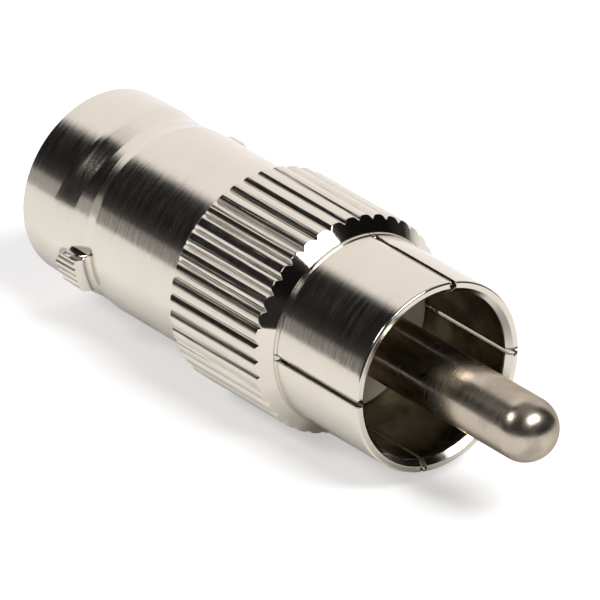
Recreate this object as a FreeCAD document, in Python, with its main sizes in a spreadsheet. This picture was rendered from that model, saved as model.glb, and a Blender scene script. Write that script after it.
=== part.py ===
import FreeCAD, Part
import os

import Sketcher

# Adapter from a BNC jack to an RCA plug, in millimetres.
# The origin is at the centre of the BNC mouth and +Z runs along the axis to the tip of the
# RCA pin. The part stands on the flat rim of the BNC mouth. The two bayonet lugs are on +X
# and -X, and azimuths are counted from +X towards +Y.

SIZES = {
    # turned body: BNC barrel, bayonet lugs and knurled grip collar, from one bar
    "barrel_diameter": 9.65,
    "barrel_wall": 0.76,
    "barrel_length": 12.5,
    "rim_chamfer": 0.12,
    "grip_length": 6.55,
    "grip_rear_chamfer": 0.12,
    "grip_front_bevel": 0.65,
    "relief_depth": 0.025,
    "relief_start": 2.5,
    "relief_end": 5.45,
    # straight knurl, cut in the bar before it is turned
    "knurl_depth": 0.22,
    "knurl_opening": 0.44,
    "knurl_count": 40,
    "first_groove_azimuth": 3.2,
    # bayonet lugs: their height above the barrel also sets the size of the bar
    "lug_height": 0.705,
    "lug_width": 1.9,
    "lug_round_centre": 4.2,
    "lug_flank": 5.2,
    "lug_bevel": 0.4,
    # bores of the body
    "bnc_bore_depth": 8.4,
    "mouth_flare": 0.14,
    "web_thickness": 1.0,
    "insulator_seat_diameter": 7.2,
    # insulator of the BNC side
    "tube_diameter": 4.7,
    "tube_reach": 5.0,
    "insulator_length": 6.3,
    "tube_clearance": 0.02,
    # centre contact of the BNC side
    "contact_diameter": 2.1,
    "contact_bore_diameter": 1.36,
    "contact_bore_depth": 4.9,
    "contact_clearance": 0.1,
    "contact_recess": 0.06,
    "contact_lead_in": 0.12,
    "contact_slot_width": 0.24,
    "contact_slot_depth": 3.6,
    "contact_head_diameter": 3.2,
    "contact_head_length": 5.8,
    # slotted ground shell of the RCA side
    "shell_diameter": 9.6,
    "shell_wall": 0.6,
    "shell_reach": 6.3,
    "shell_lip_height": 0.06,
    "shell_lip_width": 0.2,
    "shell_shoulder": 0.2,
    "shell_floor_hole_diameter": 6.8,
    "shell_floor_thickness": 1.7,
    "shell_mouth_round": 0.15,
    "shell_mouth_bevel": 0.28,
    "shell_slot_width": 0.34,
    "shell_slot_base": 0.08,
    "first_slot_azimuth": -18.0,
    "second_slot_azimuth": 62.0,
    # insulator and pin of the RCA side
    "plug_insulator_face": 0.1,
    "plug_insulator_chamfer": 0.12,
    "pin_diameter": 3.2,
    "pin_reach": 8.1,
    "pin_tail_diameter": 1.9,
    "pin_tail_reach": 4.4,
    "pin_tail_chamfer": 0.2,
}

document = FreeCAD.newDocument("bnc_to_rca_adapter")
sheet = document.addObject("Spreadsheet::Sheet", "dims")
for row, (alias, number) in enumerate(SIZES.items(), start=1):
    sheet.set("A%d" % row, alias)
    sheet.set("B%d" % row, str(number))
    sheet.setAlias("B%d" % row, alias)
document.recompute()


class Size:
    """A length worked out from the sheet: its expression and its present value."""

    def __init__(self, text, value):
        self.text = text
        self.value = value

    def __add__(self, other):
        other = as_size(other)
        return Size("(%s + %s)" % (self.text, other.text), self.value + other.value)

    def __sub__(self, other):
        other = as_size(other)
        return Size("(%s - %s)" % (self.text, other.text), self.value - other.value)

    def __mul__(self, factor):
        return Size("(%s * %s)" % (self.text, factor), self.value * factor)

    def __truediv__(self, divisor):
        return Size("(%s / %s)" % (self.text, divisor), self.value / divisor)

    def __neg__(self):
        return Size("(-1 * %s)" % self.text, -self.value)


def as_size(number):
    return number if isinstance(number, Size) else Size(str(number), float(number))


def cell(alias):
    return Size("dims." + alias, float(sheet.get(alias)))


def radius_of(alias):
    return cell(alias) / 2


ZERO = as_size(0)

# Stations along the axis
web_start = cell("bnc_bore_depth")
web_end = web_start + cell("web_thickness")
seat_floor = web_end + cell("insulator_length")
grip_start = cell("barrel_length")
grip_bevel_start = grip_start + cell("grip_length")
body_end = grip_bevel_start + cell("grip_front_bevel")
lip_end = body_end + cell("shell_lip_width")
shell_end = body_end + cell("shell_reach")
shell_floor_end = seat_floor + cell("shell_floor_thickness")
plug_face = body_end + cell("plug_insulator_face")
pin_end = shell_end + cell("pin_reach")
tube_front = web_start - cell("tube_reach")
contact_front = tube_front + cell("contact_recess")
contact_head_start = seat_floor - cell("contact_head_length")
pin_tail_end = seat_floor - cell("pin_tail_reach")

# Radii that more than one piece uses
barrel_radius = radius_of("barrel_diameter")
bar_radius = barrel_radius + cell("lug_height")
knurl_root = bar_radius - cell("knurl_depth")
insulator_seat = radius_of("insulator_seat_diameter")
shell_radius = radius_of("shell_diameter")
shell_lip = shell_radius + cell("shell_lip_height")
shell_seat = shell_radius - cell("shell_shoulder")
shell_bore = shell_radius - cell("shell_wall")
shell_floor_hole = radius_of("shell_floor_hole_diameter")
pin_radius = radius_of("pin_diameter")
pin_tail = radius_of("pin_tail_diameter")
contact_radius = radius_of("contact_diameter")
contact_head = radius_of("contact_head_diameter")
tube_bore = contact_radius + cell("contact_clearance")
tube_radius = radius_of("tube_diameter")

# Cuts run this far past the solid
overrun = barrel_radius / 4


def new_body(label):
    body = document.addObject("PartDesign::Body", label)
    body.Label = label
    return body


def origin_feature(body, role):
    for feature in body.Origin.OriginFeatures:
        if feature.Role == role:
            return feature
    raise ValueError("no origin feature " + role)


def pin_down(sketch, kind, edge, size):
    """Holds the start of an edge at a signed distance from the sketch's origin."""
    axis = -2 if kind == "DistanceX" else -1
    if size is ZERO:
        sketch.addConstraint(Sketcher.Constraint("PointOnObject", edge, 1, axis))
        return
    if size.value < 0:
        number = sketch.addConstraint(Sketcher.Constraint(kind, edge, 1, -1, 1, -size.value))
        size = -size
    else:
        number = sketch.addConstraint(Sketcher.Constraint(kind, -1, 1, edge, 1, size.value))
    sketch.setExpression("Constraints[%d]" % number, size.text)


def outline(body, name, plane, corners, height=ZERO, azimuth=None):
    """A closed polygon on an origin plane of the body, every corner bound to the sheet."""
    sketch = body.newObject("Sketcher::SketchObject", name)
    sketch.AttachmentSupport = [(origin_feature(body, plane), "")]
    sketch.MapMode = "FlatFace"
    if height is not ZERO:
        sketch.setExpression("AttachmentOffset.Base.z", height.text)
    if azimuth is not None:
        sketch.setExpression("AttachmentOffset.Rotation.Angle", azimuth.text)
    count = len(corners)
    for index, (across, along) in enumerate(corners):
        next_across, next_along = corners[(index + 1) % count]
        start = FreeCAD.Vector(across.value, along.value, 0)
        end = FreeCAD.Vector(next_across.value, next_along.value, 0)
        sketch.addGeometry(Part.LineSegment(start, end), False)
    for index in range(count):
        sketch.addConstraint(Sketcher.Constraint("Coincident", index, 2, (index + 1) % count, 1))
    for index, (across, along) in enumerate(corners):
        pin_down(sketch, "DistanceX", index, across)
        pin_down(sketch, "DistanceY", index, along)
    return sketch


def turn(body, name, corners, kind="Revolution"):
    """Turns a half section, given as corners of radius and height, about the axis."""
    sketch = outline(body, name + "_section", "XZ_Plane", corners)
    feature = body.newObject("PartDesign::" + kind, name)
    feature.Profile = sketch
    feature.ReferenceAxis = (sketch, ["V_Axis"])
    feature.Angle = 360.0
    body.Tip = feature
    return feature


def bore(body, name, corners):
    """Turned cut, checked to have taken material away."""
    document.recompute()
    before = body.Shape.Volume
    feature = turn(body, name, corners, "Groove")
    document.recompute()
    if body.Shape.Volume >= before:
        raise ValueError(name + " cuts nothing")
    return feature


def cut_upwards(body, name, sketch, length):
    """Straight cut from a sketch towards +Z."""
    document.recompute()
    before = body.Shape.Volume
    feature = body.newObject("PartDesign::Pocket", name)
    feature.Profile = sketch
    feature.Reversed = True
    feature.setExpression("Length", length.text)
    body.Tip = feature
    document.recompute()
    if body.Shape.Volume >= before:
        raise ValueError(name + " cuts nothing")
    return feature


def repeat_round(body, name, feature, sketch, copies):
    """Copies a feature evenly round the axis."""
    pattern = body.newObject("PartDesign::PolarPattern", name)
    pattern.Originals = [feature]
    pattern.Axis = (sketch, ["N_Axis"])
    pattern.Angle = 360.0
    pattern.setExpression("Occurrences", copies.text)
    body.Tip = pattern
    document.recompute()
    return pattern


def slot_outline(body, name, half_length, width, height, azimuth=None):
    """A saw cut right across the axis, seen from the end."""
    half_width = width / 2
    corners = [
        (-half_length, -half_width),
        (half_length, -half_width),
        (half_length, half_width),
        (-half_length, half_width),
    ]
    return outline(body, name, "XY_Plane", corners, height, azimuth)


def pad_across(body, name, sketch):
    """Bar right across the axis, to beyond the turned stock on both sides."""
    feature = body.newObject("PartDesign::Pad", name)
    feature.Profile = sketch
    feature.Midplane = True
    feature.setExpression("Length", ((bar_radius + overrun) * 2).text)
    body.Tip = feature
    return feature


def make_body():
    """BNC barrel with its two lugs and the knurled grip collar, turned from one knurled bar."""
    body = new_body("adapter_body")
    chamfer = cell("rim_chamfer")
    rear_chamfer = cell("grip_rear_chamfer")
    relief = barrel_radius - cell("relief_depth")
    turn(body, "turned_bar", [
        (ZERO, ZERO),
        (barrel_radius - chamfer, ZERO),
        (barrel_radius, chamfer),
        (barrel_radius, cell("relief_start")),
        (relief, cell("relief_start") + cell("relief_depth")),
        (relief, cell("relief_end") - cell("relief_depth")),
        (barrel_radius, cell("relief_end")),
        (barrel_radius, grip_start),
        (bar_radius - rear_chamfer, grip_start),
        (bar_radius, grip_start + rear_chamfer),
        (bar_radius, grip_bevel_start),
        (shell_lip, body_end),
        (ZERO, body_end),
    ])

    # Studs across the barrel, later turned down to the bar's own surface: half round towards
    # the mouth and square towards the grip
    flank = cell("lug_flank")
    half_width = radius_of("lug_width")
    round_centre = cell("lug_round_centre")
    round_sketch = body.newObject("Sketcher::SketchObject", "lug_circle")
    round_sketch.AttachmentSupport = [(origin_feature(body, "YZ_Plane"), "")]
    round_sketch.MapMode = "FlatFace"
    centre = FreeCAD.Vector(0, round_centre.value, 0)
    circle = Part.Circle(centre, FreeCAD.Vector(0, 0, 1), half_width.value)
    round_sketch.addGeometry(circle, False)
    round_sketch.addConstraint(Sketcher.Constraint("PointOnObject", 0, 3, -2))
    pinned = round_sketch.addConstraint(
        Sketcher.Constraint("DistanceY", -1, 1, 0, 3, round_centre.value))
    round_sketch.setExpression("Constraints[%d]" % pinned, round_centre.text)
    sized = round_sketch.addConstraint(
        Sketcher.Constraint("Diameter", 0, cell("lug_width").value))
    round_sketch.setExpression("Constraints[%d]" % sized, cell("lug_width").text)
    pad_across(body, "lug_rounds", round_sketch)
    block_end = flank + overrun / 2
    block_sketch = outline(body, "lug_block_outline", "YZ_Plane", [
        (-half_width, round_centre),
        (half_width, round_centre),
        (half_width, block_end),
        (-half_width, block_end),
    ])
    pad_across(body, "lug_blocks", block_sketch)

    # The lugs' crowns keep the bar's surface, and a flat flank with a bevel faces the grip
    bevel = cell("lug_bevel")
    beyond = bar_radius + overrun * 2
    bore(body, "lug_crowns", [
        (bar_radius, ZERO),
        (beyond, ZERO),
        (beyond, flank + overrun),
        (barrel_radius, flank + overrun),
        (barrel_radius, flank),
        (bar_radius - bevel, flank),
        (bar_radius, flank - bevel),
    ])

    # Straight knurl: V grooves, deep enough for the collar and the lugs only
    outer = bar_radius + overrun
    flare = cell("knurl_opening").value / cell("knurl_depth").value
    half_opening = Size(
        "(%s / 2 * %s / %s)" % (
            cell("knurl_opening").text,
            (outer - knurl_root).text,
            cell("knurl_depth").text,
        ),
        flare / 2 * (outer - knurl_root).value,
    )
    groove_sketch = outline(body, "knurl_section", "XY_Plane", [
        (knurl_root, ZERO),
        (outer, -half_opening),
        (outer, half_opening),
    ], azimuth=cell("first_groove_azimuth"))
    groove = cut_upwards(body, "knurl_groove", groove_sketch, body_end + overrun)
    repeat_round(body, "knurl", groove, groove_sketch, cell("knurl_count"))

    # Stepped bore: BNC socket, web that backs the insulator, and the two seats
    bnc_bore = barrel_radius - cell("barrel_wall")
    mouth_flare = cell("mouth_flare")
    web_hole = tube_radius + cell("tube_clearance")
    bore(body, "stepped_bore", [
        (ZERO, -overrun),
        (bnc_bore + mouth_flare, -overrun),
        (bnc_bore + mouth_flare, ZERO),
        (bnc_bore, mouth_flare),
        (bnc_bore, web_start),
        (web_hole, web_start),
        (web_hole, web_end),
        (insulator_seat, web_end),
        (insulator_seat, seat_floor),
        (shell_seat, seat_floor),
        (shell_seat, body_end + overrun),
        (ZERO, body_end + overrun),
    ])
    return body


def make_bnc_insulator():
    """White insulator: a tube in the BNC socket and a thick seat behind the web."""
    body = new_body("bnc_insulator")
    turn(body, "insulator_turning", [
        (tube_bore, tube_front),
        (tube_radius, tube_front),
        (tube_radius, web_end),
        (insulator_seat, web_end),
        (insulator_seat, seat_floor),
        (contact_head, seat_floor),
        (contact_head, contact_head_start),
        (tube_bore, contact_head_start),
    ])
    return body


def make_bnc_contact():
    """Slotted centre socket, with a thick head that takes the tail of the RCA pin."""
    body = new_body("bnc_center_contact")
    contact_bore = radius_of("contact_bore_diameter")
    lead_in = cell("contact_lead_in")
    turn(body, "contact_turning", [
        (contact_bore + lead_in, contact_front),
        (contact_radius, contact_front),
        (contact_radius, contact_head_start),
        (contact_head, contact_head_start),
        (contact_head, seat_floor),
        (pin_tail, seat_floor),
        (pin_tail, pin_tail_end),
        (ZERO, pin_tail_end),
        (ZERO, contact_front + cell("contact_bore_depth")),
        (contact_bore, contact_front + cell("contact_bore_depth")),
        (contact_bore, contact_front + lead_in),
    ])
    slot_sketch = slot_outline(
        body, "tine_slot_outline", contact_radius + overrun, cell("contact_slot_width"),
        contact_front - overrun)
    slot = cut_upwards(body, "tine_slot", slot_sketch, cell("contact_slot_depth") + overrun)
    crossing = body.newObject("PartDesign::PolarPattern", "tine_slots")
    crossing.Originals = [slot]
    crossing.Axis = (slot_sketch, ["N_Axis"])
    crossing.Angle = 90.0
    crossing.Occurrences = 2
    body.Tip = crossing
    return body


def make_ground_shell():
    """RCA shell: a thin tube with four slots, pressed into the front of the body."""
    body = new_body("rca_ground_shell")
    mouth_round = cell("shell_mouth_round")
    mouth_bevel = cell("shell_mouth_bevel")
    tube = turn(body, "shell_turning", [
        (shell_floor_hole, seat_floor),
        (shell_seat, seat_floor),
        (shell_seat, body_end),
        (shell_lip, body_end),
        (shell_lip, lip_end),
        (shell_radius, lip_end),
        (shell_radius, shell_end),
        (shell_bore + mouth_bevel, shell_end),
        (shell_bore, shell_end - mouth_bevel),
        (shell_bore, shell_floor_end),
        (shell_floor_hole, shell_floor_end),
    ])
    document.recompute()
    rounding = body.newObject("PartDesign::Fillet", "mouth_rounding")
    rounding.Base = (tube, [circle_edge(tube.Shape, shell_radius.value, shell_end.value)])
    rounding.setExpression("Radius", mouth_round.text)
    body.Tip = rounding
    slot_base = lip_end + cell("shell_slot_base")
    for name, azimuth in (("first", "first_slot_azimuth"), ("second", "second_slot_azimuth")):
        sketch = slot_outline(
            body, name + "_slot_outline", shell_radius + overrun, cell("shell_slot_width"),
            slot_base, cell(azimuth))
        cut_upwards(body, name + "_slot", sketch, shell_end - slot_base + overrun)
    return body


def circle_edge(shape, radius, height):
    """Name of the circular edge with this radius at this height."""
    for index, edge in enumerate(shape.Edges, start=1):
        curve = edge.Curve
        if not isinstance(curve, Part.Circle):
            continue
        if abs(curve.Radius - radius) < 1e-6 and abs(curve.Center.z - height) < 1e-6:
            return "Edge%d" % index
    raise ValueError("no circular edge of radius %g at %g" % (radius, height))


def make_plug_insulator():
    """Insulator at the bottom of the RCA shell, which carries the pin."""
    body = new_body("rca_insulator")
    chamfer = cell("plug_insulator_chamfer")
    turn(body, "plug_insulator_turning", [
        (pin_tail, seat_floor),
        (shell_floor_hole, seat_floor),
        (shell_floor_hole, shell_floor_end),
        (shell_bore, shell_floor_end),
        (shell_bore, plug_face - chamfer),
        (shell_bore - chamfer, plug_face),
        (pin_tail, plug_face),
    ])
    return body


def make_pin():
    """RCA pin with a round tip, a shoulder on the insulator and a tail in the contact."""
    body = new_body("rca_center_pin")
    tip_centre = pin_end - pin_radius
    tail_chamfer = cell("pin_tail_chamfer")
    turn(body, "pin_turning", [
        (ZERO, pin_tail_end),
        (pin_tail - tail_chamfer, pin_tail_end),
        (pin_tail, pin_tail_end + tail_chamfer),
        (pin_tail, plug_face),
        (pin_radius, plug_face),
        (pin_radius, tip_centre),
        (ZERO, tip_centre),
    ])
    tip = body.newObject("PartDesign::AdditiveSphere", "pin_tip")
    tip.setExpression("Radius", pin_radius.text)
    tip.setExpression("Placement.Base.z", tip_centre.text)
    body.Tip = tip
    return body


pieces = [
    make_body(),
    make_bnc_insulator(),
    make_bnc_contact(),
    make_ground_shell(),
    make_plug_insulator(),
    make_pin(),
]
document.recompute()

for feature in document.Objects:
    if "Invalid" in feature.State or "Error" in feature.State:
        raise RuntimeError("%s did not build: %s" % (feature.Label, feature.State))
for piece in pieces:
    if piece.Shape.isNull() or not piece.Shape.isValid() or len(piece.Shape.Solids) != 1:
        raise RuntimeError(piece.Label + " is not one valid solid")

os.makedirs("parts", exist_ok=True)
for piece in pieces:
    piece.Shape.exportStep(os.path.join("parts", piece.Label + ".step"))
    box = piece.Shape.BoundBox
    print("%-20s volume %8.2f  z %6.2f to %6.2f" % (piece.Label, piece.Shape.Volume, box.ZMin, box.ZMax))
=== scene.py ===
import math

import bpy
import bmesh
from mathutils import Matrix, Vector


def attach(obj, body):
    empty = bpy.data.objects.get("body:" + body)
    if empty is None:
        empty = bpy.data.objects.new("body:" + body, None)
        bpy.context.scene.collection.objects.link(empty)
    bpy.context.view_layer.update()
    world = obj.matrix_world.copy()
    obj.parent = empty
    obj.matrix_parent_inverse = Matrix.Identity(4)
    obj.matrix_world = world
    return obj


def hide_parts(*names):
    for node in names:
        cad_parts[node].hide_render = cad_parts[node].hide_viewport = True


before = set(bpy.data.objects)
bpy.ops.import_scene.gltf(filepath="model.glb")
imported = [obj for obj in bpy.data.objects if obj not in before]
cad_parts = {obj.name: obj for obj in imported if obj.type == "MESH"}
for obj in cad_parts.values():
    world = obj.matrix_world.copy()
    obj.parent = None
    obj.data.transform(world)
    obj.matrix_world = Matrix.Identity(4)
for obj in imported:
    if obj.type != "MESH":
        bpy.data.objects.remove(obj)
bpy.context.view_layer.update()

# Adapter from a BNC jack to an RCA plug, turned from brass and nickel plated. +Z runs along
# its axis from the BNC mouth to the tip of the RCA pin, and the bayonet lugs are on +X and -X.
# Sizes are in millimetres and angles in degrees.
MM = 0.001


# Sizes of the body, which is turned from one bar

BAR_RADIUS = 5.53
BARREL_RADIUS = 4.825
BARREL_BORE = 4.065
RIM_CHAMFER = 0.12
MOUTH_FLARE = 0.14
# The barrel narrows a little to its mouth, and milling the bar away between the lugs leaves a
# shallow waist: height and depth below the barrel's surface. Its rear part sways along the
# barrel, furthest from the mouth midway between the lugs
MOUTH_TAPER = 0.06
WAIST_ROUND = 0.8
WAIST = ((2.6, 0.0), (2.9, 0.015), (4.0, 0.118), (5.0, 0.09), (5.62, 0.0))
WAIST_SWAY = 0.5
GRIP_START = 12.5
GRIP_REAR_CHAMFER = 0.12
GRIP_BEVEL_START = 19.05
BODY_END = 19.7
WEB_START = 8.4
WEB_END = 9.4
WEB_HOLE = 2.37
INSULATOR_SEAT = 3.6
SEAT_FLOOR = 15.7

KNURL_COUNT = 40
KNURL_ROOT = 5.36
# Rise of a groove's wall for each millimetre away from the groove's middle
KNURL_WALL = 1.15
KNURL_ROOT_ROUND = 0.035
KNURL_CREST_ROUND = 0.055
FIRST_GROOVE = 3.2
# Azimuths of the mesh columns from a groove's middle, closest where the groove bends
HALF_GROOVE = (0.0, 0.15, 0.3, 0.5, 1.15, 1.45, 1.7, 1.9, 2.1, 2.35, 2.7, 3.4, 4.5)
# Keeps two corners apart where a groove is deeper than the chamfer behind the knurl
LEAST_STEP = 0.002

LUG_HALF_WIDTH = 0.95
LUG_ROUND_CENTRE = 4.2
LUG_FLANK = 5.2
LUG_BEVEL = 0.4
LUG_FOOT = 4.45
# Fine ridges run lengthwise over the lug's crown
LUG_RIDGE_PITCH = 0.34
LUG_RIDGE_WALL = 0.86
LUG_RIDGE_ROUND = 0.05
LUG_COLUMNS = 100


# Sizes of the pieces that are pressed into the body

SHELL_RADIUS = 4.8
SHELL_LIP = 4.86
SHELL_LIP_GAP = 0.005
SHELL_LIP_END = 19.9
SHELL_LIP_FOOT = 0.01
SHELL_SEAT = 4.6
SHELL_BORE = 4.2
SHELL_END = 26.0
SHELL_FLOOR_HOLE = 3.4
SHELL_FLOOR_END = 17.4
SHELL_MOUTH_ROUND = 0.15
SHELL_MOUTH_BEVEL = 0.28
# Two saw cuts right across the shell leave four slots: the azimuths of the first half's slots
SHELL_SLOTS = (-18.0, 62.0, 162.0)
SHELL_SLOT_HALF_WIDTH = 0.185
SHELL_SLOT_BASE = 19.98
SHELL_COLUMN = 1.25

TUBE_RADIUS = 2.35
TUBE_FRONT = 3.4
TUBE_BORE = 1.15
TUBE_BORE_ROUND = 0.05
TUBE_RIM_ROUND = 0.08

CONTACT_FRONT = 3.46
CONTACT_RADIUS = 1.05
CONTACT_BORE = 0.68
CONTACT_BORE_END = 8.36
CONTACT_LEAD_IN = 0.12
CONTACT_SLOT_HALF_WIDTH = 0.12
CONTACT_SLOT_BASE = 7.06
CONTACT_HEAD = 1.6
CONTACT_HEAD_START = 9.9
TINES = 4
TINE_COLUMNS = 24

PLUG_FACE = 19.8
PLUG_FACE_CHAMFER = 0.12
PLUG_FACE_ROUND = 0.04

PIN_RADIUS = 1.6
PIN_END = 34.1
PIN_TAIL = 0.95
PIN_TAIL_END = 11.3
PIN_TAIL_CHAMFER = 0.2
PIN_TAIL_ROUND = 0.02
PIN_TIP_STEPS = 20

# Plating rounds every cut edge a little. A guard strip beside the round stays flat, and both
# are at most a share of the side that they are on
EDGE_ROUND = 0.03
SLOT_EDGE_ROUND = 0.012
EDGE_GUARD = 0.02
ROUND_SHARE = 0.4
GUARD_SHARE = 0.05
LEAST_REACH = 1e-5

PLAIN_COPIES = 120
WELD_DISTANCE = 0.001
SAME_HEIGHT = 1e-6


# Materials

# Patterns of the plating, in cycles per millimetre. The lathe marks are drawn coarser than the
# real ones, which are too fine to show
MARKS_AROUND = 0.6
WAVES_AROUND = 0.12
GRAIN_CYCLES = 5.0
STAIN_CYCLES = 0.45
DRAWN_LINES = (6.0, 6.0, 0.1)
# Waves for each lathe mark, and depths as shares of the marks' depth
WAVES_PER_MARK = 0.15
WAVE_DEPTH = 0.9
GRAIN_DEPTH = 0.35
DRAWN_DEPTH = 8.0
# Across a bevel the height and the radius change together, so they don't weigh the same
RADIUS_WEIGHT = 1.7
# Two finishes of one piece meet over this width to either side
FINISH_BLEND = 0.02

# The shell's bore finish, dull and with painted shade, starts below its outer skin and ends short
# of its mouth's bevel
BORE_ZONE_BELOW_SKIN = (0.06, 0.03)
BORE_ZONE_BELOW_MOUTH = (0.4, 0.3)
# Its bore's painted shade darkens outwards, from this far beyond the plug's face to this far short
# of the mouth
PAINTED_SHADE_FROM_FACE = 1.0
PAINTED_SHADE_TO_MOUTH = 1.6
# Its slots' walls have their own finish, from this far outside the bore
SLOT_WALL_START = (0.02, 0.05)
# The pin is rubbed from this far outside the shell
RUBBED_FROM = (0.2, 1.4)

RINGS_AROUND = 0.1
RINGS_ACROSS = 5.0
RING_DEPTH = 0.002
CLOUD_CYCLES = 0.6
LIGHT_SINKS_IN = 0.4


def linear(hex_colour):
    """sRGB hex value as a linear colour with alpha."""
    channels = []
    for start in (1, 3, 5):
        value = int(hex_colour[start:start + 2], 16) / 255
        channels.append(value / 12.92 if value <= 0.04045 else ((value + 0.055) / 1.055) ** 2.4)
    return (*channels, 1.0)


def add(tree, kind, inputs=None, **settings):
    """Adds a node with its settings, and sets or links its inputs.

    An input takes a value, an output socket, or a node, which stands for the first output that
    its settings leave in use. A Mix node has its factor at input 0, and what it mixes at 2 and
    3 for numbers, or at 6 and 7 for colours.
    """
    node = tree.nodes.new(kind)
    for name, value in settings.items():
        setattr(node, name, value)
    for name, value in (inputs or {}).items():
        if isinstance(value, bpy.types.Node):
            value = next(output for output in value.outputs if output.enabled)
        if isinstance(value, bpy.types.NodeSocket):
            tree.links.new(value, node.inputs[name])
        else:
            node.inputs[name].default_value = value
    return node


def new_material(name):
    material = bpy.data.materials.new(name)
    material.use_nodes = True
    material.node_tree.nodes.clear()
    return material, material.node_tree


def turned_place(tree):
    """The place on a turned piece: the point itself, its radius and its height, in metres."""
    point = add(tree, "ShaderNodeTexCoord").outputs["Object"]
    parts = add(tree, "ShaderNodeSeparateXYZ", {0: point})
    flat = add(tree, "ShaderNodeCombineXYZ", {0: parts.outputs["X"], 1: parts.outputs["Y"]})
    radius = add(tree, "ShaderNodeVectorMath", {0: flat}, operation="LENGTH")
    return point, radius, parts.outputs["Z"]


def lathe_coordinates(tree, around, across):
    """Coordinates in which a texture runs round the axis as tool marks do.

    around and across are texture cycles per millimetre along and across the marks.
    """
    point, radius, height = turned_place(tree)
    step = add(tree, "ShaderNodeMath", {0: radius, 1: RADIUS_WEIGHT, 2: height},
               operation="MULTIPLY_ADD")
    fine = add(tree, "ShaderNodeMath", {0: step, 1: across / MM}, operation="MULTIPLY")
    wide = add(tree, "ShaderNodeVectorMath", {0: point, "Scale": around / MM}, operation="SCALE")
    spread = add(tree, "ShaderNodeSeparateXYZ", {0: wide})
    return add(tree, "ShaderNodeCombineXYZ", {
        0: spread.outputs["X"], 1: spread.outputs["Y"], 2: fine})


def nickel(name, colour, shade, roughness, mark_depth, mark_pitch, zone=None, drawn_from=None,
           edge="#FFFFFF"):
    """Bright plating over turned metal: warm nickel, or a flash of gold.

    The plating keeps the lathe's marks, so a reflection is sharp along the axis and breaks up
    into fine rings where it ends. The zone, a function, gives a part of the surface a finish of
    its own: where it is, its colour or None for the same, its roughness and how much of the
    marks it keeps. Beyond the radius drawn_from the bar's drawn skin is left, whose lines run
    lengthwise. The colour edge tints reflections at a low angle.
    """
    material, tree = new_material(name)
    point, radius, height = turned_place(tree)
    marks = add(tree, "ShaderNodeTexNoise", {
        "Vector": lathe_coordinates(tree, MARKS_AROUND, 1 / mark_pitch), "Scale": 1.0,
        "Detail": 4.0, "Roughness": 0.6})
    waves = add(tree, "ShaderNodeTexNoise", {
        "Vector": lathe_coordinates(tree, WAVES_AROUND, WAVES_PER_MARK / mark_pitch),
        "Scale": 1.0, "Detail": 2.0})
    grain = add(tree, "ShaderNodeTexNoise", {
        "Vector": point, "Scale": GRAIN_CYCLES / MM, "Detail": 2.0})
    stain = add(tree, "ShaderNodeTexNoise", {
        "Vector": point, "Scale": STAIN_CYCLES / MM, "Detail": 3.0})
    relief = add(tree, "ShaderNodeMath", {0: waves, 1: WAVE_DEPTH, 2: marks},
                 operation="MULTIPLY_ADD")
    relief = add(tree, "ShaderNodeMath", {0: grain, 1: GRAIN_DEPTH, 2: relief},
                 operation="MULTIPLY_ADD")
    if drawn_from:
        stretched = add(tree, "ShaderNodeVectorMath", {
            0: point, 1: tuple(cycles / MM for cycles in DRAWN_LINES)}, operation="MULTIPLY")
        lines = add(tree, "ShaderNodeTexNoise", {"Vector": stretched, "Scale": 1.0, "Detail": 3.0})
        lines = add(tree, "ShaderNodeMath", {0: lines, 1: DRAWN_DEPTH}, operation="MULTIPLY")
        skin = add(tree, "ShaderNodeMapRange", {
            "Value": radius, "From Min": (drawn_from - FINISH_BLEND) * MM,
            "From Max": (drawn_from + FINISH_BLEND) * MM})
        relief = add(tree, "ShaderNodeMix", {0: skin, 2: relief, 3: lines})
    dull = add(tree, "ShaderNodeMapRange", {
        "Value": marks, "From Min": 0.3, "From Max": 0.7,
        "To Min": roughness * 0.8, "To Max": roughness * 1.3})
    tone = add(tree, "ShaderNodeMix", {0: stain, 6: linear(colour), 7: linear(shade)},
               data_type="RGBA")
    depth = mark_depth * MM
    if zone:
        share, zone_colour, zone_roughness, zone_marks = zone(tree, radius, height, stain)
        dull = add(tree, "ShaderNodeMix", {0: share, 2: dull, 3: zone_roughness})
        depth = add(tree, "ShaderNodeMix", {0: share, 2: depth, 3: depth * zone_marks})
        if zone_colour:
            tone = add(tree, "ShaderNodeMix", {0: share, 6: tone, 7: zone_colour},
                       data_type="RGBA")
    bump = add(tree, "ShaderNodeBump", {
        "Strength": 1.0, "Distance": depth, "Height": relief})
    surface = add(tree, "ShaderNodeBsdfPrincipled", {
        "Base Color": tone, "Metallic": 1.0, "Roughness": dull, "Anisotropic": 0.35,
        "Specular Tint": linear(edge), "Normal": bump})
    add(tree, "ShaderNodeOutputMaterial", {"Surface": surface})
    return material


def polished_bevel(tree, radius, height, stain):
    """The bevel in front of the knurl was faced last, with a fine tool, and mirrors sharply."""
    front = add(tree, "ShaderNodeMapRange", {
        "Value": height, "From Min": (GRIP_BEVEL_START - FINISH_BLEND) * MM,
        "From Max": (GRIP_BEVEL_START + FINISH_BLEND) * MM})
    return front, None, 0.05, 0.0


def in_patches(tree, stain):
    """How far a wear shows that comes in soft patches."""
    return add(tree, "ShaderNodeMapRange", {"Value": stain, "From Min": 0.42, "From Max": 0.6})


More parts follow.
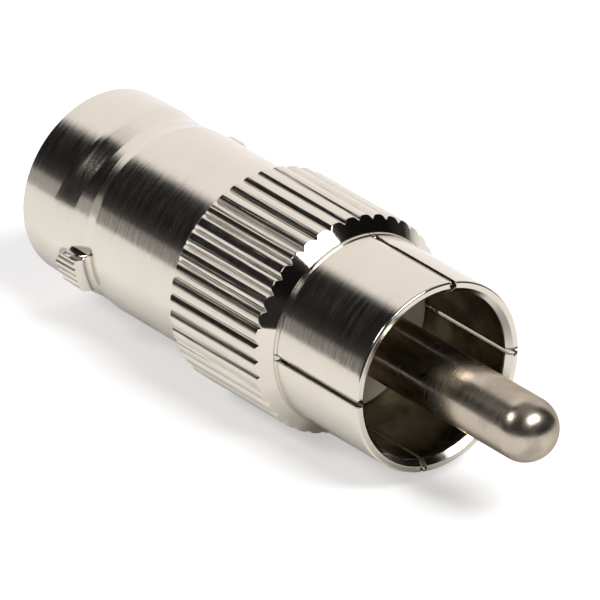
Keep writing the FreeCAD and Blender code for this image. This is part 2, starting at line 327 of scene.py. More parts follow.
def bore_finish_and_painted_shade(tree, radius, height, stain):
    """Dull bore and slots. The bore's browns are painted shade, darker towards the mouth."""
    below_skin = add(tree, "ShaderNodeMapRange", {
        "Value": radius, "From Min": (SHELL_RADIUS - BORE_ZONE_BELOW_SKIN[0]) * MM,
        "From Max": (SHELL_RADIUS - BORE_ZONE_BELOW_SKIN[1]) * MM, "To Min": 1.0, "To Max": 0.0})
    below_mouth = add(tree, "ShaderNodeMapRange", {
        "Value": height, "From Min": (SHELL_END - BORE_ZONE_BELOW_MOUTH[0]) * MM,
        "From Max": (SHELL_END - BORE_ZONE_BELOW_MOUTH[1]) * MM, "To Min": 1.0, "To Max": 0.0})
    inside = add(tree, "ShaderNodeMath", {0: below_skin, 1: below_mouth}, operation="MULTIPLY")
    patches = in_patches(tree, stain)
    # Painted shade: the bore's colours are dark browns, darker still towards the mouth
    bore_shade_near_face = add(tree, "ShaderNodeMix", {
        0: patches, 6: linear("#BDB198"), 7: linear("#857962")}, data_type="RGBA")
    bore_shade_near_mouth = add(tree, "ShaderNodeMix", {
        0: patches, 6: linear("#82765F"), 7: linear("#42392D")}, data_type="RGBA")
    outwards = add(tree, "ShaderNodeMapRange", {
        "Value": height, "From Min": (PLUG_FACE + PAINTED_SHADE_FROM_FACE) * MM,
        "From Max": (SHELL_END - PAINTED_SHADE_TO_MOUTH) * MM})
    painted_bore_shade = add(tree, "ShaderNodeMix", {0: outwards, 6: bore_shade_near_face, 7: bore_shade_near_mouth}, data_type="RGBA")
    in_slot = add(tree, "ShaderNodeMapRange", {
        "Value": radius, "From Min": (SHELL_BORE + SLOT_WALL_START[0]) * MM,
        "From Max": (SHELL_BORE + SLOT_WALL_START[1]) * MM})
    colour = add(tree, "ShaderNodeMix", {0: in_slot, 6: painted_bore_shade, 7: linear("#C9BFAE")},
                 data_type="RGBA")
    dull = add(tree, "ShaderNodeMix", {0: in_slot, 2: 0.42, 3: 0.22})
    return inside, colour, dull, 1.2


def rubbed(tree, radius, height, stain):
    """Plugging in has rubbed the pin where it stands out, which leaves it browner in patches."""
    free = add(tree, "ShaderNodeMapRange", {
        "Value": height, "From Min": (SHELL_END + RUBBED_FROM[0]) * MM,
        "From Max": (SHELL_END + RUBBED_FROM[1]) * MM})
    share = add(tree, "ShaderNodeMath", {0: free, 1: in_patches(tree, stain)},
                operation="MULTIPLY")
    return share, linear("#A2978A"), 0.3, 1.0


def plastic(name, colour, shade, roughness):
    """Turned white plastic: a soft waxy gloss, faint rings, and light that sinks in a little."""
    material, tree = new_material(name)
    point = turned_place(tree)[0]
    rings = add(tree, "ShaderNodeTexNoise", {
        "Vector": lathe_coordinates(tree, RINGS_AROUND, RINGS_ACROSS), "Scale": 1.0,
        "Detail": 3.0})
    bump = add(tree, "ShaderNodeBump", {
        "Strength": 1.0, "Distance": RING_DEPTH * MM, "Height": rings})
    dull = add(tree, "ShaderNodeMapRange", {
        "Value": rings, "From Min": 0.3, "From Max": 0.7,
        "To Min": roughness * 0.85, "To Max": roughness * 1.2})
    cloud = add(tree, "ShaderNodeTexNoise", {
        "Vector": point, "Scale": CLOUD_CYCLES / MM, "Detail": 2.0})
    tone = add(tree, "ShaderNodeMix", {0: cloud, 6: linear(colour), 7: linear(shade)},
               data_type="RGBA")
    surface = add(tree, "ShaderNodeBsdfPrincipled", {
        "Base Color": tone, "Roughness": dull, "IOR": 1.48, "Subsurface Weight": 0.15,
        "Subsurface Scale": LIGHT_SINKS_IN * MM, "Normal": bump})
    add(tree, "ShaderNodeOutputMaterial", {"Surface": surface})
    return material


BODY_NICKEL = nickel(
    "nickel_plate_on_turned_brass", colour="#D8D2C7", shade="#CFC8BC", roughness=0.15,
    mark_depth=0.0046, mark_pitch=0.16, zone=polished_bevel,
    drawn_from=(BARREL_RADIUS + BAR_RADIUS) / 2)
# The shell's bore has painted shade in its colour
SHELL_NICKEL = nickel(
    "nickel_plate_on_thin_turned_shell", colour="#D8D2C7", shade="#CEC7BA", roughness=0.14,
    mark_depth=0.0036, mark_pitch=0.15, zone=bore_finish_and_painted_shade)
PIN_NICKEL = nickel(
    "worn_nickel_plate_on_turned_pin", colour="#BFB5A6", shade="#B4AA9B", roughness=0.22,
    mark_depth=0.0008, mark_pitch=0.16, zone=rubbed, edge="#CFC9BF")
CONTACT_GOLD = nickel(
    "gold_flash_on_phosphor_bronze", colour="#E3BD6B", shade="#D6AC58", roughness=0.2,
    mark_depth=0.0012, mark_pitch=0.16)
PLUG_PLASTIC = plastic("white_acetal_turned", "#F2EFE8", "#EAE6DD", roughness=0.38)
JACK_PLASTIC = plastic("white_ptfe_turned", "#EFEDE7", "#E7E4DC", roughness=0.45)


# Shapes: every piece is a slice about the axis that a node tree repeats all the way round

def rounded(corners, closed=True):
    """Half section with its corners rounded, as points of radius and height.

    Each corner is (radius, height, rounding, steps). A corner with no rounding stays sharp.
    Beside each rounding a guard point keeps the shading of the flat next to it true.
    """
    count = len(corners)
    points = []
    for index, (radius, height, rounding, steps) in enumerate(corners):
        corner = Vector((radius, height))
        if not rounding or (not closed and index in (0, count - 1)):
            points.append(corner)
            continue
        before = Vector(corners[index - 1][:2]) - corner
        after = Vector(corners[(index + 1) % count][:2]) - corner
        bend = before.normalized().dot(-after.normalized())
        reach = rounding * math.tan(math.acos(max(-1.0, min(1.0, bend))) / 2)
        reach = max(reach, LEAST_REACH)
        reach = min(reach, before.length * ROUND_SHARE, after.length * ROUND_SHARE)
        start = corner + before.normalized() * reach
        end = corner + after.normalized() * reach
        guard = min(EDGE_GUARD, before.length * GUARD_SHARE, after.length * GUARD_SHARE)
        points.append(start + before.normalized() * guard)
        for step in range(steps + 1):
            share = step / steps
            points.append(
                start * (1 - share) ** 2 + corner * 2 * share * (1 - share) + end * share ** 2)
        points.append(end + after.normalized() * guard)
    return points


def place(radius, azimuth, height):
    angle = math.radians(azimuth)
    return (radius * math.cos(angle) * MM, radius * math.sin(angle) * MM, height * MM)


def mesh_object(name, vertices, faces):
    mesh = bpy.data.meshes.new(name)
    mesh.from_pydata(vertices, [], faces)
    mesh.update()
    obj = bpy.data.objects.new(name, mesh)
    bpy.context.scene.collection.objects.link(obj)
    return obj


def slice_object(name, azimuths, section_at):
    """Part of a turned piece between the first and the last azimuth.

    section_at gives the closed half section at an azimuth, always with as many points.
    """
    vertices = []
    for azimuth in azimuths:
        vertices += [place(point[0], azimuth, point[1]) for point in section_at(azimuth)]
    rows = len(vertices) // len(azimuths)
    faces = []
    for column in range(len(azimuths) - 1):
        for row in range(rows):
            following = (row + 1) % rows
            here = column * rows
            there = here + rows
            faces.append((here + row, there + row, there + following, here + following))
    return mesh_object(name, vertices, faces)


def round_tree():
    """Node tree that repeats a slice evenly round the axis and welds it into one skin."""
    tree = bpy.data.node_groups.new("repeat_round_axis", "GeometryNodeTree")
    face = tree.interface
    face.new_socket("Slice", in_out="INPUT", socket_type="NodeSocketGeometry")
    copies = face.new_socket("Copies", in_out="INPUT", socket_type="NodeSocketInt")
    weld = face.new_socket("Weld distance", in_out="INPUT", socket_type="NodeSocketFloat")
    finish = face.new_socket("Finish", in_out="INPUT", socket_type="NodeSocketMaterial")
    face.new_socket("Piece", in_out="OUTPUT", socket_type="NodeSocketGeometry")
    given = add(tree, "NodeGroupInput").outputs
    points = add(tree, "GeometryNodeMeshLine", {"Count": given["Copies"], "Offset": (0, 0, 0)})
    turn = add(tree, "ShaderNodeMath", {0: math.tau, 1: given["Copies"]}, operation="DIVIDE")
    number = add(tree, "GeometryNodeInputIndex")
    angle = add(tree, "ShaderNodeMath", {0: number, 1: turn}, operation="MULTIPLY")
    rotation = add(tree, "ShaderNodeCombineXYZ", {2: angle})
    copied = add(tree, "GeometryNodeInstanceOnPoints", {
        "Points": points, "Instance": given["Slice"], "Rotation": rotation})
    real = add(tree, "GeometryNodeRealizeInstances", {"Geometry": copied})
    skin = add(tree, "GeometryNodeMergeByDistance", {
        "Geometry": real, "Distance": given["Weld distance"]})
    smooth = add(tree, "GeometryNodeSetShadeSmooth", {"Geometry": skin})
    coated = add(tree, "GeometryNodeSetMaterial", {
        "Geometry": smooth, "Material": given["Finish"]})
    add(tree, "NodeGroupOutput", {"Piece": coated})
    return tree, copies.identifier, weld.identifier, finish.identifier


ROUND_TREE, COPIES, WELD, FINISH = round_tree()


def all_round(name, slice_piece, copies, finish):
    """The whole piece from its slice, as a plain mesh."""
    modifier = slice_piece.modifiers.new("repeat", "NODES")
    modifier.node_group = ROUND_TREE
    modifier[COPIES] = copies
    modifier[WELD] = WELD_DISTANCE * MM
    modifier[FINISH] = finish
    return baked(name, slice_piece)


def baked(name, source):
    """A new object with the evaluated mesh of the source, which is removed."""
    graph = bpy.context.evaluated_depsgraph_get()
    mesh = bpy.data.meshes.new_from_object(source.evaluated_get(graph))
    mesh.name = name
    bpy.data.objects.remove(source)
    obj = bpy.data.objects.new(name, mesh)
    bpy.context.scene.collection.objects.link(obj)
    return obj


def face_outwards(obj, slotted=False):
    """Faces turned outwards and shaded smooth, apart from a slot's flat walls.

    On a slotted piece, those walls are the only faces with more than four corners.
    """
    work = bmesh.new()
    work.from_mesh(obj.data)
    bmesh.ops.recalc_face_normals(work, faces=work.faces)
    for face in work.faces:
        face.smooth = not slotted or len(face.verts) <= 4
    work.to_mesh(obj.data)
    work.free()


# Body: BNC barrel, lugs and knurled collar

def knurl_radius(azimuth):
    """Radius of the knurled bar: V grooves with a narrow rounded root and eased crest edges."""
    pitch = 360 / KNURL_COUNT
    off = math.radians((azimuth - FIRST_GROOVE + pitch / 2) % pitch - pitch / 2)
    across = KNURL_ROOT * math.sin(abs(off))
    rise = KNURL_WALL * (math.hypot(across, KNURL_ROOT_ROUND) - KNURL_ROOT_ROUND)
    depth = BAR_RADIUS - KNURL_ROOT
    ease = KNURL_CREST_ROUND
    rise = -ease * math.log(math.exp(-rise / ease) + math.exp(-depth / ease))
    return KNURL_ROOT + rise


def body_section(azimuth):
    crest = knurl_radius(azimuth)
    rear_radius = min(crest, BAR_RADIUS - GRIP_REAR_CHAMFER)
    edge = EDGE_ROUND
    return rounded([
        (BARREL_BORE + MOUTH_FLARE, 0, edge, 3),
        (BARREL_RADIUS - MOUTH_TAPER - RIM_CHAMFER, 0, edge, 3),
        (BARREL_RADIUS - MOUTH_TAPER, RIM_CHAMFER, edge * 3, 4),
        *[(BARREL_RADIUS - depth, height, WAIST_ROUND, 3) for height, depth in WAIST],
        (BARREL_RADIUS, GRIP_START, edge, 3),
        (rear_radius, GRIP_START, edge * 0.6, 2),
        (crest, GRIP_START + crest - rear_radius + LEAST_STEP, edge, 2),
        (crest, GRIP_BEVEL_START + BAR_RADIUS - crest, edge * 2, 3),
        (SHELL_LIP, BODY_END, edge, 3),
        (SHELL_SEAT, BODY_END, 0, 0),
        (SHELL_SEAT, SEAT_FLOOR, 0, 0),
        (INSULATOR_SEAT, SEAT_FLOOR, 0, 0),
        (INSULATOR_SEAT, WEB_END, 0, 0),
        (WEB_HOLE, WEB_END, 0, 0),
        (WEB_HOLE, WEB_START, edge, 2),
        (BARREL_BORE, WEB_START, edge * 2, 3),
        (BARREL_BORE, MOUTH_FLARE, edge, 3),
    ])


def sway_waist(piece):
    """Moves the waist's rear part along the barrel, by how far it is from the lugs."""
    in_wall = (BARREL_BORE + BARREL_RADIUS) / 2 * MM
    start, deepest, end = [WAIST[index][0] * MM for index in (0, 2, 3)]
    for vertex in piece.data.vertices:
        spot = vertex.co
        if math.hypot(spot.x, spot.y) > in_wall and 0 < spot.z < end:
            swing = -math.cos(2 * math.atan2(spot.y, spot.x))
            share = min(spot.z / start, (end - spot.z) / (end - deepest), 1.0)
            spot.z += WAIST_SWAY * MM * swing * share


def make_body():
    azimuths = [FIRST_GROOVE - value for value in reversed(HALF_GROOVE[1:])]
    azimuths += [FIRST_GROOVE + value for value in HALF_GROOVE]
    groove = slice_object("groove_slice", azimuths, body_section)
    piece = all_round("turned_body", groove, KNURL_COUNT, BODY_NICKEL)
    sway_waist(piece)
    face_outwards(piece)
    for side in (1, -1):
        lug = make_lug(side)
        face_outwards(lug)
        union = piece.modifiers.new("lug", "BOOLEAN")
        union.operation = "UNION"
        union.solver = "EXACT"
        union.object = lug
        piece = baked("turned_body", piece)
        bpy.data.objects.remove(lug)
    return piece


def make_lug(side):
    """Bayonet lug: half round towards the mouth, flat towards the grip, with a ridged crown."""
    limit = LUG_HALF_WIDTH - EDGE_ROUND
    offsets = [limit * (2 * column / LUG_COLUMNS - 1) for column in range(LUG_COLUMNS + 1)]
    columns = [(-LUG_HALF_WIDTH, EDGE_ROUND)] + [(value, 0) for value in offsets]
    columns += [(LUG_HALF_WIDTH, EDGE_ROUND)]
    vertices = []
    for across, drop in columns:
        front = LUG_ROUND_CENTRE - math.sqrt(max(0, LUG_HALF_WIDTH ** 2 - across ** 2))
        off = abs(across % LUG_RIDGE_PITCH - LUG_RIDGE_PITCH / 2)
        rise = LUG_RIDGE_WALL * (math.hypot(off, LUG_RIDGE_ROUND) - LUG_RIDGE_ROUND)
        crest = BAR_RADIUS - drop - LUG_RIDGE_WALL * LUG_RIDGE_PITCH / 2 + rise
        flank_crest = BAR_RADIUS - LUG_BEVEL - drop
        section = rounded([
            (LUG_FOOT, front, 0, 0),
            (crest, front, EDGE_ROUND * 3, 3),
            (crest, LUG_FLANK + flank_crest - crest, EDGE_ROUND, 2),
            (flank_crest, LUG_FLANK, EDGE_ROUND, 2),
            (LUG_FOOT, LUG_FLANK, 0, 0),
        ], closed=False)
        for radius, height in section:
            depth = math.sqrt(radius ** 2 - across ** 2)
            vertices.append((side * depth * MM, side * across * MM, height * MM))
    rows = len(vertices) // len(columns)
    faces = []
    for column in range(len(columns) - 1):
        here = column * rows
        there = here + rows
        faces += [(here + row, there + row, there + row + 1, here + row + 1)
                  for row in range(rows - 1)]
        faces.append((here, there, there + rows - 1, here + rows - 1))
    faces.append(tuple(range(rows)))
    last = (len(columns) - 1) * rows
    faces.append(tuple(range(last, last + rows)))
    lug = mesh_object("lug", vertices, faces)
    lug.data.materials.append(BODY_NICKEL)
    return lug


# Slotted pieces: RCA shell and BNC contact

def slotted_slice(vertices, faces, start, end, steps, half_slot, section, cut_rows):
    """Adds a slice between the middles of two saw slots to a list of vertices and faces.

    section(inset) gives the closed half section, and cut_rows the first and the last row that
    stand free between the slots. The walls of a slot are flat, and its edges are eased.
    """
    ease = SLOT_EDGE_ROUND
    plain = section(0)
    eased = section(ease)
    columns = [(plain, start, 0.0), (eased, start, half_slot), (plain, start, half_slot + ease)]
    first, last = cut_rows
    width = end - start
    for step in range(1, steps):
        columns.append((plain, start + width * step / steps, 0.0))
    columns += [(plain, end, -half_slot - ease), (eased, end, -half_slot), (plain, end, 0.0)]
    walls = (1, len(columns) - 2)
    base = len(vertices)
    rows = len(plain)
    for number, (profile, azimuth, off) in enumerate(columns):
        for row, point in enumerate(profile):
            on_wall = number in walls and first <= row <= last
            radius, height = point if on_wall else plain[row]
            lean = math.degrees(math.asin(off / radius)) if radius > 0 else 0
            vertices.append(place(radius, azimuth + lean, height))
    for column in range(len(columns) - 1):
        in_slot = column in (0, len(columns) - 2)
        here = base + column * rows
        there = here + rows
        for row in range(rows):
            following = (row + 1) % rows
            if in_slot and first <= row < last:
                continue
            faces.append((here + row, there + row, there + following, here + following))
        if in_slot:
            faces.append((here + first, there + first, there + last, here + last))
    for column in walls:
        here = base + column * rows
        faces.append(tuple(here + row for row in range(first, last + 1)))


def rows_of(points, height):
    """First and last row of a section at a height."""
    level = [row for row, point in enumerate(points) if abs(point[1] - height) < SAME_HEIGHT]
    return level[0], level[-1]


def shell_section(inset):
    mouth = SHELL_END - inset
    outside = SHELL_RADIUS - inset
    inside = SHELL_BORE + inset
    lip_start = BODY_END + SHELL_LIP_GAP
    return rounded([
        (SHELL_FLOOR_HOLE, SEAT_FLOOR, 0, 0),
        (SHELL_SEAT, SEAT_FLOOR, 0, 0),
        (SHELL_SEAT, lip_start, 0, 0),
        (SHELL_LIP, lip_start, EDGE_ROUND, 2),
        (SHELL_LIP, SHELL_LIP_END, EDGE_ROUND, 2),
        (SHELL_RADIUS, SHELL_LIP_END, SHELL_LIP_FOOT, 2),
        (outside, SHELL_SLOT_BASE, 0, 0),
        (outside, mouth, SHELL_MOUTH_ROUND, 6),
        (inside + SHELL_MOUTH_BEVEL, mouth, EDGE_ROUND * 2, 3),
        (inside, mouth - SHELL_MOUTH_BEVEL, EDGE_ROUND * 2, 3),
        (inside, SHELL_SLOT_BASE, 0, 0),
        (SHELL_BORE, SHELL_FLOOR_END, 0, 0),
        (SHELL_FLOOR_HOLE, SHELL_FLOOR_END, 0, 0),
    ])


def make_shell():
    vertices, faces = [], []
    cut_rows = rows_of(shell_section(0), SHELL_SLOT_BASE)
    for start, end in zip(SHELL_SLOTS, SHELL_SLOTS[1:]):
        steps = round((end - start) / SHELL_COLUMN)
        slotted_slice(
            vertices, faces, start, end, steps, SHELL_SLOT_HALF_WIDTH, shell_section, cut_rows)
    half = mesh_object("half_shell", vertices, faces)
    piece = all_round("slotted_shell", half, 2, SHELL_NICKEL)
    face_outwards(piece, slotted=True)
    return piece


def contact_section(inset):
    """Section of the contact, from the outside of its slots' base over the tine's tip."""
    front = CONTACT_FRONT + inset
    outside = CONTACT_RADIUS - inset
    inside = CONTACT_BORE + inset
    points = rounded([
        (outside, front, EDGE_ROUND * 2, 3),
        (inside + CONTACT_LEAD_IN, front, EDGE_ROUND, 2),
        (inside, front + CONTACT_LEAD_IN, EDGE_ROUND, 2),
        (inside, CONTACT_SLOT_BASE, 0, 0),
        (CONTACT_BORE, CONTACT_BORE_END, 0, 0),
        (0.0, CONTACT_BORE_END, 0, 0),
        (0.0, PIN_TAIL_END, 0, 0),
        (PIN_TAIL, PIN_TAIL_END, 0, 0),
        (PIN_TAIL, SEAT_FLOOR, 0, 0),
        (CONTACT_HEAD, SEAT_FLOOR, 0, 0),
        (CONTACT_HEAD, CONTACT_HEAD_START, 0, 0),
        (CONTACT_RADIUS, CONTACT_HEAD_START, 0, 0),
        (outside, CONTACT_SLOT_BASE, 0, 0),
    ])
    return [points[-1]] + points[:-1]


def make_contact():
    vertices, faces = [], []
    cut_rows = rows_of(contact_section(0), CONTACT_SLOT_BASE)
    slotted_slice(
        vertices, faces, 0.0, 360 / TINES, TINE_COLUMNS, CONTACT_SLOT_HALF_WIDTH,
        contact_section, cut_rows)
    tine = mesh_object("tine", vertices, faces)
    piece = all_round("tined_contact", tine, TINES, CONTACT_GOLD)
    face_outwards(piece, slotted=True)
    return piece


# Plainly turned pieces

def turned(name, section, finish):
    thin_slice = slice_object(name + "_slice", (0.0, 360 / PLAIN_COPIES), lambda azimuth: section)
    piece = all_round(name, thin_slice, PLAIN_COPIES, finish)
    face_outwards(piece)
    return piece


def make_pin():
    tip_centre = PIN_END - PIN_RADIUS
    section = rounded([
        (0.0, PIN_TAIL_END, 0, 0),
        (PIN_TAIL - PIN_TAIL_CHAMFER, PIN_TAIL_END, PIN_TAIL_ROUND, 2),
        (PIN_TAIL, PIN_TAIL_END + PIN_TAIL_CHAMFER, PIN_TAIL_ROUND, 2),
        (PIN_TAIL, PLUG_FACE, 0, 0),
        (PIN_RADIUS, PLUG_FACE, EDGE_ROUND, 2),
        (PIN_RADIUS, tip_centre, 0, 0),
    ], closed=False)
    for step in range(1, PIN_TIP_STEPS):
        lean = math.pi / 2 * step / PIN_TIP_STEPS
        section.append(Vector((
            PIN_RADIUS * math.cos(lean), tip_centre + PIN_RADIUS * math.sin(lean))))
    section.append(Vector((0.0, PIN_END)))
    return turned("round_tip_pin", section, PIN_NICKEL)


def make_plug_insulator():
    section = rounded([
        (PIN_TAIL, SEAT_FLOOR, 0, 0),
        (SHELL_FLOOR_HOLE, SEAT_FLOOR, 0, 0),
        (SHELL_FLOOR_HOLE, SHELL_FLOOR_END, 0, 0),
        (SHELL_BORE, SHELL_FLOOR_END, 0, 0),
        (SHELL_BORE, PLUG_FACE - PLUG_FACE_CHAMFER, PLUG_FACE_ROUND, 3),
        (SHELL_BORE - PLUG_FACE_CHAMFER, PLUG_FACE, PLUG_FACE_ROUND, 3),
        (PIN_TAIL, PLUG_FACE, 0, 0),
    ])
    return turned("plug_insulator", section, PLUG_PLASTIC)


def make_jack_insulator():
    section = rounded([
        (TUBE_BORE, TUBE_FRONT, TUBE_BORE_ROUND, 3),
        (TUBE_RADIUS, TUBE_FRONT, TUBE_RIM_ROUND, 4),
        (TUBE_RADIUS, WEB_END, 0, 0),
        (INSULATOR_SEAT, WEB_END, 0, 0),
        (INSULATOR_SEAT, SEAT_FLOOR, 0, 0),
        (CONTACT_HEAD, SEAT_FLOOR, 0, 0),
        (CONTACT_HEAD, CONTACT_HEAD_START, 0, 0),
        (TUBE_BORE, CONTACT_HEAD_START, 0, 0),
    ])
    return turned("jack_insulator", section, JACK_PLASTIC)


PIECES = (
    (make_body, "adapter_body", "body_nickel"),
    (make_shell, "rca_ground_shell", "shell_nickel"),
    (make_pin, "rca_center_pin", "pin_nickel"),
    (make_plug_insulator, "rca_insulator", "rca_insulator_white"),
    (make_jack_insulator, "bnc_insulator", "bnc_insulator_white"),
    (make_contact, "bnc_center_contact", "contact_gold"),
)
for make, node, slot in PIECES:
    piece = make()
    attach(piece, "root")
    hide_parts(node)


# Camera

# The camera's own directions are right, down and away. In them, the part's axis points
# towards the tip of the pin, and the near lug is turned this far from the level radius
AXIS_IN_VIEW = (0.6133, 0.3585, -0.704)
LUG_TURN = 147
FRAME_PIXELS = 600
FOCAL_PIXELS = 14625
# Centre of the BNC mouth in the photo
MOUTH_PIXEL = (101.59, 180.72)
CAMERA_DISTANCE = 700.0
SENSOR_WIDTH = 36.0


def photo_camera():
    """Makes the camera at the photo's place, and returns the direction that it looks in."""
    axis = Vector(AXIS_IN_VIEW).normalized()
    level = axis.cross(Vector((0, 0, 1))).normalized()
    steep = axis.cross(level)
    lug_turn = math.radians(LUG_TURN)
    toward_lug = level * math.cos(lug_turn) + steep * math.sin(lug_turn)
    part_axes = (toward_lug, axis.cross(toward_lug), axis)
    mouth = Vector((
        (MOUTH_PIXEL[0] - FRAME_PIXELS / 2) * CAMERA_DISTANCE / FOCAL_PIXELS,
        (MOUTH_PIXEL[1] - FRAME_PIXELS / 2) * CAMERA_DISTANCE / FOCAL_PIXELS,
        CAMERA_DISTANCE,
    ))
    turn = Matrix([(part[0], -part[1], -part[2]) for part in part_axes])
    spot = Vector([-mouth.dot(part) * MM for part in part_axes])
    data = bpy.data.cameras.new("photo_camera")
    data.sensor_width = SENSOR_WIDTH
    data.lens = FOCAL_PIXELS / FRAME_PIXELS * SENSOR_WIDTH
    data.clip_start = 0.01
    camera = bpy.data.objects.new("photo_camera", data)
    camera.matrix_world = Matrix.Translation(spot) @ turn.to_4x4()
    bpy.context.scene.collection.objects.link(camera)
    bpy.context.scene.camera = camera
    return -turn.col[2]


# Table and light

# The adapter lies on two crests of its collar, beside the groove at this azimuth
DOWN_AZIMUTH = math.radians(70.7)
TABLE_GAP = 0.005
TABLE_RADIUS = 85.0
TABLE_SIDES = 96
TABLE_MIDDLE = Vector((0, 0, 16))
TABLE_GRAIN_CYCLES = 0.5
LAMP_TARGET = Vector((0, 0, 18))
# The table is seen this much brighter than the lamps make it. The plating mirrors it brighter
# too, and less so in the strip right below the part, which lies in the part's own shadow
TABLE_SEEN = 0.45
TABLE_MIRRORED_BELOW = 0.08
TABLE_MIRRORED = 0.34
STRIP_HALF_WIDTH = (1.8, 3.8)

# Brightness of each part of the studio between two angles, seen from the part: the height above
# the table, or the side, which is 0 away from the camera and grows to the right
STUDIO = {
    "backdrop_width": ("off_side", 43, 55, 1.16, 0.0),
    "backdrop_height": ("height", 48, 66, 1.0, 0.32),
    "ceiling": ("height", 58, 72, 0.0, 0.36),
    # A low grey wall stands to the left, between the backdrop and the dark part of the room
    "wall_height": ("height", 5.5, 9.5, 0.5, 0.0),
    "wall_start": ("side", -88, -81, 0.0, 1.0),
    "wall_end": ("side", -52, -44, 1.0, 0.0),
    "room": ("height", 12, 24, 0.03, 0.008),
}

looking = photo_camera()
up = -Vector((math.cos(DOWN_AZIMUTH), math.sin(DOWN_AZIMUTH), 0))
away = (looking - up * looking.dot(up)).normalized()
right = away.cross(up)


def table_material():
    """Matt white table top. It is seen as white, and it keeps the part's shadow."""
    material, tree = new_material("white_matt_table")
    point = add(tree, "ShaderNodeTexCoord").outputs["Object"]
    grain = add(tree, "ShaderNodeTexNoise", {
        "Vector": point, "Scale": TABLE_GRAIN_CYCLES / MM})
    tone = add(tree, "ShaderNodeMix", {0: grain, 6: linear("#E4E4E4"), 7: linear("#E1E1E1")},
               data_type="RGBA")
    matt = add(tree, "ShaderNodeBsdfDiffuse", {"Color": tone})
    path = add(tree, "ShaderNodeLightPath")
    sideways = up.cross(Vector((0, 0, 1)))
    beside = add(tree, "ShaderNodeVectorMath", {0: point, 1: tuple(sideways)},
                 operation="DOT_PRODUCT")
    beside = add(tree, "ShaderNodeMath", {0: beside}, operation="ABSOLUTE")
    open_table = add(tree, "ShaderNodeMapRange", {
        "Value": beside, "From Min": STRIP_HALF_WIDTH[0] * MM,
        "From Max": STRIP_HALF_WIDTH[1] * MM, "To Min": TABLE_MIRRORED_BELOW,
        "To Max": TABLE_MIRRORED})
    mirrored = add(tree, "ShaderNodeMath", {
        0: path.outputs["Is Glossy Ray"], 1: open_table}, operation="MULTIPLY")
    lift = add(tree, "ShaderNodeMath", {
        0: path.outputs["Is Camera Ray"], 1: TABLE_SEEN, 2: mirrored}, operation="MULTIPLY_ADD")
    glow = add(tree, "ShaderNodeEmission", {"Color": linear("#FFFFFF"), "Strength": lift})
    both = add(tree, "ShaderNodeAddShader", {0: matt, 1: glow})
    # Seen from below, the table doesn't hide the part
    clear = add(tree, "ShaderNodeBsdfTransparent")
    back = add(tree, "ShaderNodeNewGeometry").outputs["Backfacing"]
    mixed = add(tree, "ShaderNodeMixShader", {0: back, 1: both, 2: clear})
    add(tree, "ShaderNodeOutputMaterial", {"Surface": mixed})
    return material


def make_table():
    centre = TABLE_MIDDLE - up * (BAR_RADIUS + TABLE_GAP)
    rim = []
    for side in range(TABLE_SIDES):
        angle = math.tau * side / TABLE_SIDES
        rim.append(centre + (away * math.cos(angle) + right * math.sin(angle)) * TABLE_RADIUS)
    table = mesh_object(
        "table", [tuple(corner * MM) for corner in rim], [tuple(range(TABLE_SIDES))])
    if table.data.polygons[0].normal.dot(up) < 0:
        table.data.flip_normals()
    table.data.materials.append(table_material())


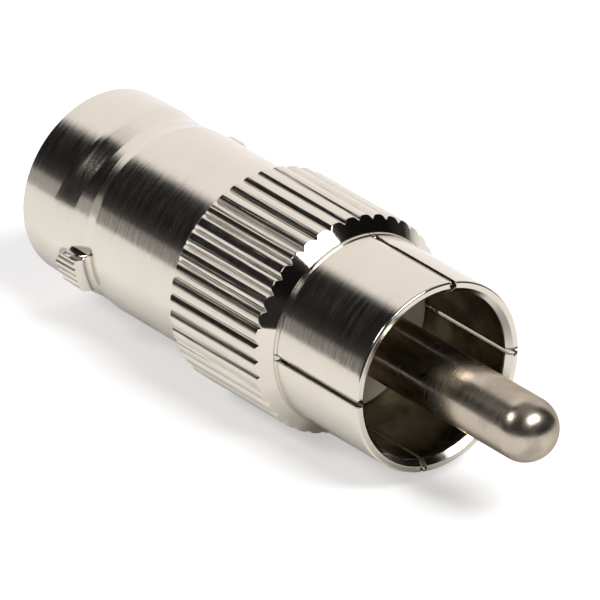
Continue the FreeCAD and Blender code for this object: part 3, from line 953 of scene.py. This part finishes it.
def studio_world():
    """White studio: a bright backdrop behind the part, a dim ceiling and a dark room elsewhere."""
    world = bpy.data.worlds.new("studio")
    world.use_nodes = True
    tree = world.node_tree
    tree.nodes.clear()
    toward = add(tree, "ShaderNodeTexCoord").outputs["Generated"]
    above, rightwards, behind = [
        add(tree, "ShaderNodeVectorMath", {0: toward, 1: tuple(direction)},
            operation="DOT_PRODUCT") for direction in (up, right, away)]
    height = add(tree, "ShaderNodeMath", {0: above}, operation="ARCSINE")
    side = add(tree, "ShaderNodeMath", {0: rightwards, 1: behind}, operation="ARCTAN2")
    off_side = add(tree, "ShaderNodeMath", {0: side}, operation="ABSOLUTE")
    angles = {"height": height, "side": side, "off_side": off_side}
    light = {
        name: add(tree, "ShaderNodeMapRange", {
            "Value": angles[angle], "From Min": math.radians(start),
            "From Max": math.radians(end), "To Min": low, "To Max": high},
            interpolation_type="SMOOTHSTEP")
        for name, (angle, start, end, low, high) in STUDIO.items()}
    backdrop = add(tree, "ShaderNodeMath", {
        0: light["backdrop_width"], 1: light["backdrop_height"]}, operation="MULTIPLY")
    wall = add(tree, "ShaderNodeMath", {0: light["wall_height"], 1: light["wall_start"]},
               operation="MULTIPLY")
    wall = add(tree, "ShaderNodeMath", {0: wall, 1: light["wall_end"]}, operation="MULTIPLY")
    # The background itself is seen as plain white
    seen = add(tree, "ShaderNodeLightPath").outputs["Is Camera Ray"]
    glow = seen
    for other in (backdrop, light["ceiling"], wall, light["room"]):
        glow = add(tree, "ShaderNodeMath", {0: glow, 1: other}, operation="MAXIMUM")
    colour = add(tree, "ShaderNodeMix", {
        0: seen, 6: linear("#FFFBFB"), 7: linear("#FFFFFF")}, data_type="RGBA")
    sky = add(tree, "ShaderNodeBackground", {"Color": colour, "Strength": glow})
    add(tree, "ShaderNodeOutputWorld", {"Surface": sky})
    bpy.context.scene.world = world


def softbox(name, azimuth, elevation, width, height, distance, watts):
    """Area lamp seen from the part at an azimuth from the view's own direction."""
    turned_by = math.radians(azimuth)
    lift = math.radians(elevation)
    toward = (away * math.cos(turned_by) + right * math.sin(turned_by)) * math.cos(lift)
    toward += up * math.sin(lift)
    data = bpy.data.lights.new(name, "AREA")
    data.shape = "RECTANGLE"
    data.size = width * MM
    data.size_y = height * MM
    data.energy = watts
    data.color = linear("#FFFFFF")[:3]
    lamp = bpy.data.objects.new(name, data)
    back = toward.normalized()
    across = up.cross(back).normalized()
    facing = Matrix((across, back.cross(across), back)).transposed()
    middle = LAMP_TARGET + toward * distance
    lamp.matrix_world = Matrix.Translation(middle * MM) @ facing.to_4x4()
    bpy.context.scene.collection.objects.link(lamp)


make_table()
studio_world()
softbox("key_softbox", azimuth=138, elevation=51, width=330, height=190, distance=600, watts=3.0)
softbox("side_softbox", azimuth=-102, elevation=42, width=190, height=130, distance=600, watts=0.9)

bpy.context.scene.view_settings.view_transform = "Standard"
